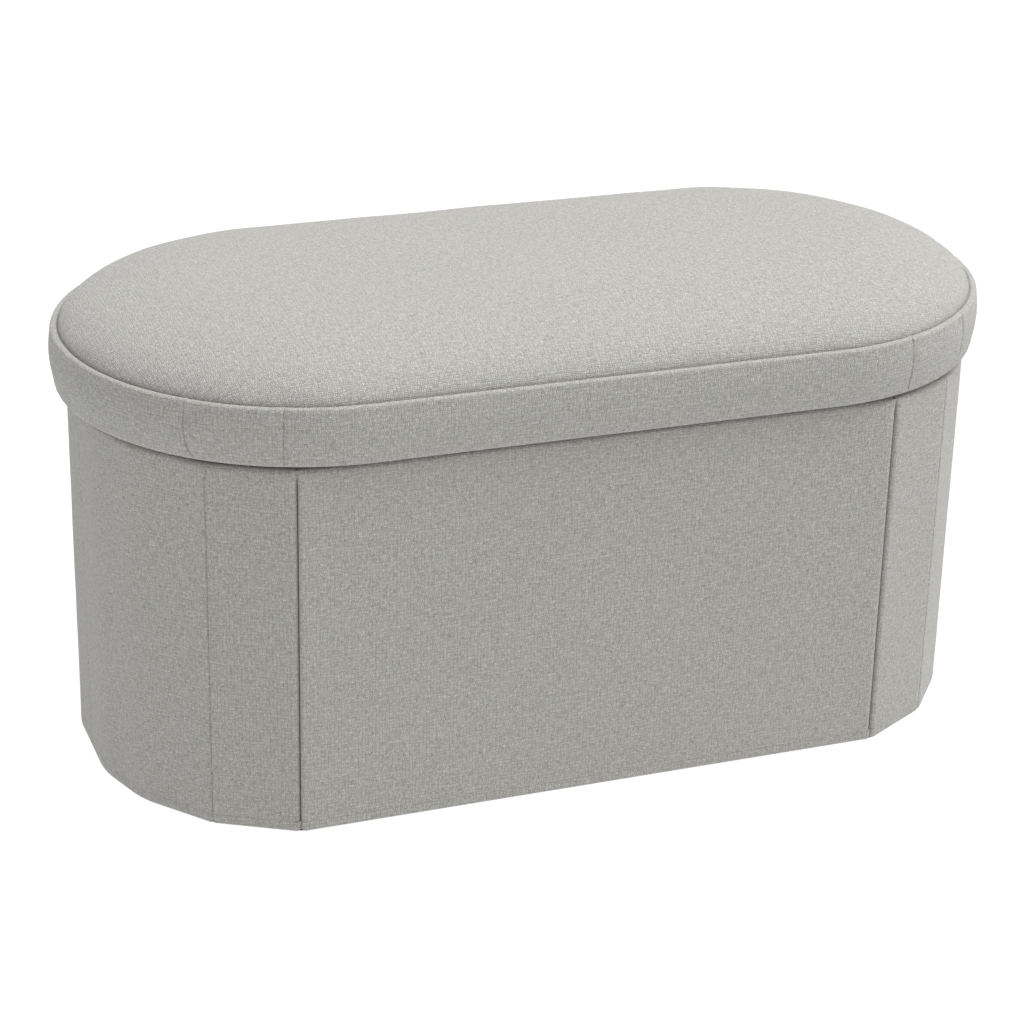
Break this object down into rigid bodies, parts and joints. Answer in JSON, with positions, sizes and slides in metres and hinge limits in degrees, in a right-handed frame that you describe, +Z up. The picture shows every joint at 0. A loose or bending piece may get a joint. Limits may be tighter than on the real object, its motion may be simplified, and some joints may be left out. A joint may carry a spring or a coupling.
{
  "type": "storage bench",
  "caption": "Fold-flat upholstered storage bench: rounded-end wall ring of hinged fabric-covered boards, loose floor board and a lift-off crowned cushion lid.",
  "frame": {"origin": "centre of the bench's footprint on the floor", "axes": "+X along the bench towards its right end seen from the front, -Y towards the front wall, +Z up"},
  "size_m": [0.76, 0.39, 0.386],
  "materials": {
    "cover_fabric": "basket weave linen look",
    "lid_fabric": "basket weave linen look",
    "lining_fabric": "non-woven",
    "foam": "open-cell foam and wadding",
    "board": "raw fibreboard",
    "staple_steel": "zinc plated wire"
  },
  "bodies": {
    "front_wall": {"front_board": "board", "front_padding": "foam", "front_cover": "cover_fabric", "front_lining": "lining_fabric", "floor_board": "board", "floor_board_cover": "lining_fabric", "bottom_tray": "cover_fabric"},
    "front_left_strip_1": {"front_left_strip_1_board": "board", "front_left_strip_1_cover": "cover_fabric"},
    "front_left_strip_2": {"front_left_strip_2_board": "board", "front_left_strip_2_cover": "cover_fabric"},
    "front_left_strip_3": {"front_left_strip_3_board": "board", "front_left_strip_3_cover": "cover_fabric"},
    "front_left_strip_4": {"front_left_strip_4_board": "board", "front_left_strip_4_cover": "cover_fabric"},
    "back_left_strip_1": {"back_left_strip_1_board": "board", "back_left_strip_1_cover": "cover_fabric"},
    "back_left_strip_2": {"back_left_strip_2_board": "board", "back_left_strip_2_cover": "cover_fabric"},
    "back_left_strip_3": {"back_left_strip_3_board": "board", "back_left_strip_3_cover": "cover_fabric"},
    "back_left_strip_4": {"back_left_strip_4_board": "board", "back_left_strip_4_cover": "cover_fabric"},
    "front_right_strip_1": {"front_right_strip_1_board": "board", "front_right_strip_1_cover": "cover_fabric"},
    "front_right_strip_2": {"front_right_strip_2_board": "board", "front_right_strip_2_cover": "cover_fabric"},
    "front_right_strip_3": {"front_right_strip_3_board": "board", "front_right_strip_3_cover": "cover_fabric"},
    "front_right_strip_4": {"front_right_strip_4_board": "board", "front_right_strip_4_cover": "cover_fabric"},
    "back_right_strip_1": {"back_right_strip_1_board": "board", "back_right_strip_1_cover": "cover_fabric"},
    "back_right_strip_2": {"back_right_strip_2_board": "board", "back_right_strip_2_cover": "cover_fabric"},
    "back_right_strip_3": {"back_right_strip_3_board": "board", "back_right_strip_3_cover": "cover_fabric"},
    "back_right_strip_4": {"back_right_strip_4_board": "board", "back_right_strip_4_cover": "cover_fabric"},
    "back_wall": {"back_board": "board", "back_padding": "foam", "back_cover": "cover_fabric", "back_lining": "lining_fabric"},
    "lid": {"lid_board": "board", "lid_foam": "foam", "lid_top_cover": "lid_fabric", "lid_band_front": "lid_fabric", "lid_band_back": "lid_fabric", "lid_band_left": "lid_fabric", "lid_band_right": "lid_fabric", "lid_band_corner_front_left": "lid_fabric", "lid_band_corner_front_right": "lid_fabric", "lid_band_corner_back_left": "lid_fabric", "lid_band_corner_back_right": "lid_fabric", "lid_seam_roll": "lid_fabric", "lid_underside_lining": "lining_fabric", "lid_staples": "staple_steel"}
  },
  "joints": [
    {"name": "left_front_corner_fold", "type": "hinge", "parent": "front_wall", "child": "front_left_strip_1", "pos_m": [-0.2389, -0.172, 0.15], "axis": [0, 0, -1], "range_deg": [0, 150], "deforming": ["bottom_tray"]},
    {"name": "left_front_fold_1", "type": "hinge", "parent": "front_left_strip_1", "child": "front_left_strip_2", "pos_m": [-0.29537, -0.1407, 0.15], "axis": [0, 0, 1], "range_deg": [0, 21.85]},
    {"name": "left_front_fold_2", "type": "hinge", "parent": "front_left_strip_2", "child": "front_left_strip_3", "pos_m": [-0.33536, -0.09131, 0.15], "axis": [0, 0, 1], "range_deg": [0, 19.87]},
    {"name": "left_front_fold_3", "type": "hinge", "parent": "front_left_strip_3", "child": "front_left_strip_4", "pos_m": [-0.35192, -0.04321, 0.15], "axis": [0, 0, 1], "range_deg": [0, 18.87]},
    {"name": "left_end_fold", "type": "hinge", "parent": "front_left_strip_4", "child": "back_left_strip_4", "pos_m": [-0.36392, 0, 0.15], "axis": [0, 0, 1], "range_deg": [0, 178.81]},
    {"name": "left_back_fold_3", "type": "hinge", "parent": "back_left_strip_4", "child": "back_left_strip_3", "pos_m": [-0.35192, 0.04321, 0.15], "axis": [0, 0, 1], "range_deg": [0, 18.87]},
    {"name": "left_back_fold_2", "type": "hinge", "parent": "back_left_strip_3", "child": "back_left_strip_2", "pos_m": [-0.33536, 0.09131, 0.15], "axis": [0, 0, 1], "range_deg": [0, 19.87]},
    {"name": "left_back_fold_1", "type": "hinge", "parent": "back_left_strip_2", "child": "back_left_strip_1", "pos_m": [-0.29537, 0.1407, 0.15], "axis": [0, 0, 1], "range_deg": [0, 21.85]},
    {"name": "left_back_corner_fold", "type": "hinge", "parent": "back_left_strip_1", "child": "back_wall", "pos_m": [-0.2389, 0.172, 0.15], "axis": [0, 0, -1], "range_deg": [0, 150]},
    {"name": "right_front_corner_fold", "type": "hinge", "parent": "front_wall", "child": "front_right_strip_1", "pos_m": [0.2389, -0.172, 0.15], "axis": [0, 0, 1], "range_deg": [0, 150]},
    {"name": "right_front_fold_1", "type": "hinge", "parent": "front_right_strip_1", "child": "front_right_strip_2", "pos_m": [0.29537, -0.1407, 0.15], "axis": [0, 0, -1], "range_deg": [0, 21.85]},
    {"name": "right_front_fold_2", "type": "hinge", "parent": "front_right_strip_2", "child": "front_right_strip_3", "pos_m": [0.33536, -0.09131, 0.15], "axis": [0, 0, -1], "range_deg": [0, 19.87]},
    {"name": "right_front_fold_3", "type": "hinge", "parent": "front_right_strip_3", "child": "front_right_strip_4", "pos_m": [0.35192, -0.04321, 0.15], "axis": [0, 0, -1], "range_deg": [0, 18.87]},
    {"name": "right_end_fold", "type": "hinge", "parent": "front_right_strip_4", "child": "back_right_strip_4", "pos_m": [0.36392, 0, 0.15], "axis": [0, 0, -1], "range_deg": [0, 178.81]},
    {"name": "right_back_fold_3", "type": "hinge", "parent": "back_right_strip_4", "child": "back_right_strip_3", "pos_m": [0.35192, 0.04321, 0.15], "axis": [0, 0, -1], "range_deg": [0, 18.87]},
    {"name": "right_back_fold_2", "type": "hinge", "parent": "back_right_strip_3", "child": "back_right_strip_2", "pos_m": [0.33536, 0.09131, 0.15], "axis": [0, 0, -1], "range_deg": [0, 19.87]},
    {"name": "right_back_fold_1", "type": "hinge", "parent": "back_right_strip_2", "child": "back_right_strip_1", "pos_m": [0.29537, 0.1407, 0.15], "axis": [0, 0, -1], "range_deg": [0, 21.85]},
    {"name": "lid_lift", "type": "slide", "parent": "front_wall", "child": "lid", "axis": [0, 0, 1], "range_m": [0, 0.35]}
  ],
  "couplings": [
    {"joint": "left_front_fold_1", "follows": "left_front_corner_fold", "ratio": 0.1457},
    {"joint": "left_front_fold_2", "follows": "left_front_corner_fold", "ratio": 0.13245},
    {"joint": "left_front_fold_3", "follows": "left_front_corner_fold", "ratio": 0.12583},
    {"joint": "left_end_fold", "follows": "left_front_corner_fold", "ratio": 1.1921},
    {"joint": "left_back_fold_3", "follows": "left_front_corner_fold", "ratio": 0.12583},
    {"joint": "left_back_fold_2", "follows": "left_front_corner_fold", "ratio": 0.13245},
    {"joint": "left_back_fold_1", "follows": "left_front_corner_fold", "ratio": 0.1457},
    {"joint": "left_back_corner_fold", "follows": "left_front_corner_fold", "ratio": 1},
    {"joint": "right_front_corner_fold", "follows": "left_front_corner_fold", "ratio": 1},
    {"joint": "right_front_fold_1", "follows": "left_front_corner_fold", "ratio": 0.1457},
    {"joint": "right_front_fold_2", "follows": "left_front_corner_fold", "ratio": 0.13245},
    {"joint": "right_front_fold_3", "follows": "left_front_corner_fold", "ratio": 0.12583},
    {"joint": "right_end_fold", "follows": "left_front_corner_fold", "ratio": 1.1921},
    {"joint": "right_back_fold_3", "follows": "left_front_corner_fold", "ratio": 0.12583},
    {"joint": "right_back_fold_2", "follows": "left_front_corner_fold", "ratio": 0.13245},
    {"joint": "right_back_fold_1", "follows": "left_front_corner_fold", "ratio": 0.1457}
  ]
}
